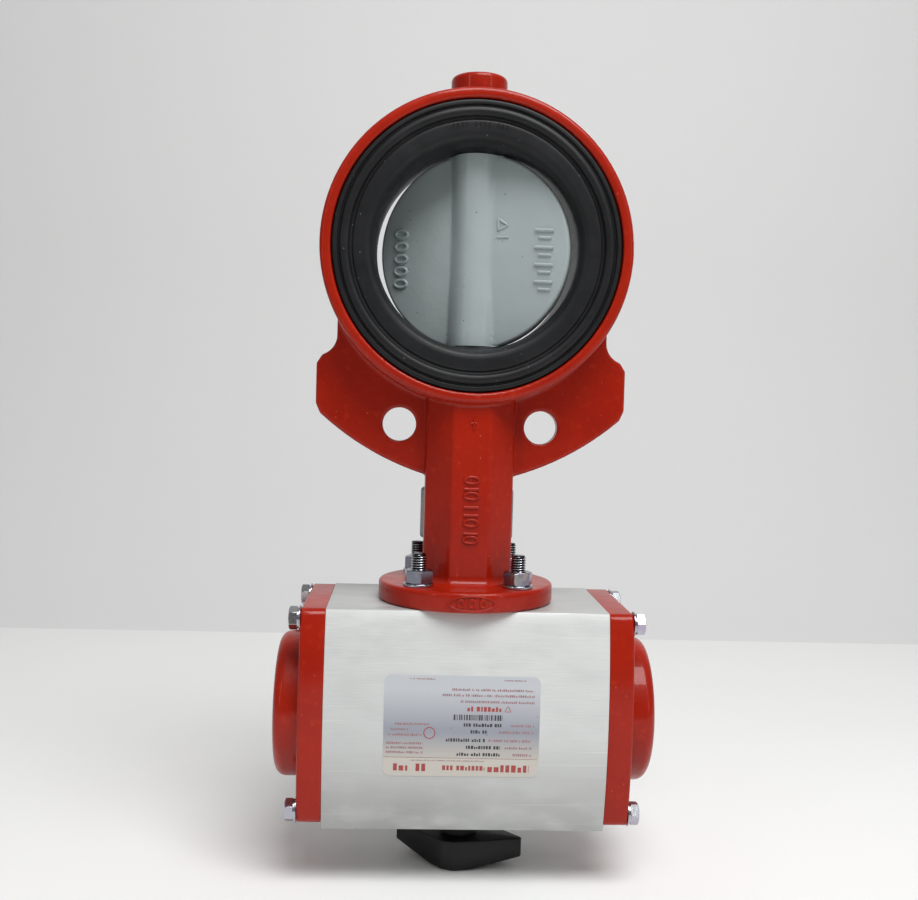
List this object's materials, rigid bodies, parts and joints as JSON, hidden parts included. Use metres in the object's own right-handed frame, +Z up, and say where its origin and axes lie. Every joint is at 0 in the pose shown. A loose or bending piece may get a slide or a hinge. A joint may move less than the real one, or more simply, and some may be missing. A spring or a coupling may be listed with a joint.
{
  "type": "actuated wafer butterfly valve",
  "caption": "Rotary pneumatic actuator with opposed rack pistons and pinion, bolted to a wafer butterfly valve, shown standing on its position indicator.",
  "frame": {"origin": "on the stem axis, at the flat foot of the position indicator that the assembly stands on", "axes": "+Z up along the stem from the indicator to the valve, +Y the flow direction through the valve and away from the label, +X along the pistons"},
  "size_m": [0.1896, 0.107, 0.405],
  "materials": {
    "brushed_aluminium": "brushed, clear anodised",
    "label_print": "satin printed film",
    "red_enamel": "glossy enamel over a cast skin",
    "black_rubber": "matt",
    "seat_rubber": "semi-matt moulded",
    "zinc_plate": "bright zinc plate",
    "white_acetal": "turned plastic",
    "bare_steel": "turned steel",
    "brass": "turned brass",
    "cast_aluminium": "die cast and machined",
    "black_plastic": "fine moulded grain",
    "grey_nylon": "glossy nylon powder coat",
    "stamped_plate": "brushed sheet"
  },
  "bodies": {
    "housing": {"actuator_body": "brushed_aluminium", "name_label": "label_print", "left_end_cap": "red_enamel", "right_end_cap": "red_enamel", "end_cap_orings": "black_rubber", "passage_orings": "black_rubber", "end_cap_bolts": "zinc_plate", "end_cap_washers": "zinc_plate", "upper_pinion_bush": "white_acetal", "lower_pinion_bush": "white_acetal", "thrust_washer": "white_acetal", "travel_stop_screws": "zinc_plate", "stop_seal_washers": "zinc_plate", "stop_jam_nuts": "zinc_plate", "valve_body": "red_enamel", "seat": "seat_rubber", "stem_bush": "white_acetal", "boss_bush": "white_acetal", "stem_seal": "black_rubber", "stem_retaining_ring": "bare_steel", "stem_thrust_washer": "bare_steel", "name_plate": "stamped_plate", "name_plate_rivets": "zinc_plate", "flange_studs": "zinc_plate", "flange_washers": "zinc_plate", "flange_nuts": "zinc_plate"},
    "rotor": {"pinion": "bare_steel", "pinion_orings": "black_rubber", "snap_ring": "bare_steel", "travel_stop_cam": "bare_steel", "indicator": "black_plastic", "indicator_screw": "bare_steel", "stem": "bare_steel", "stem_c_rings": "brass", "disc": "grey_nylon"},
    "left_piston": {"left_piston": "cast_aluminium", "left_piston_oring": "black_rubber", "left_wear_band": "white_acetal", "left_rack_pad": "white_acetal"},
    "right_piston": {"right_piston": "cast_aluminium", "right_piston_oring": "black_rubber", "right_wear_band": "white_acetal", "right_rack_pad": "white_acetal"}
  },
  "joints": [
    {"name": "rotor_turn", "type": "hinge", "parent": "housing", "child": "rotor", "pos_m": [0, 0, 0], "axis": [0, 0, 1], "range_deg": [-70, 20]},
    {"name": "left_piston_slide", "type": "slide", "parent": "housing", "child": "left_piston", "axis": [1, 0, 0], "range_m": [-0.01712, 0.0049]},
    {"name": "right_piston_slide", "type": "slide", "parent": "housing", "child": "right_piston", "axis": [1, 0, 0], "range_m": [-0.0049, 0.01712]}
  ],
  "couplings": [
    {"joint": "left_piston_slide", "follows": "rotor_turn", "m_per_rad": 0.014},
    {"joint": "right_piston_slide", "follows": "rotor_turn", "m_per_rad": -0.014}
  ]
}
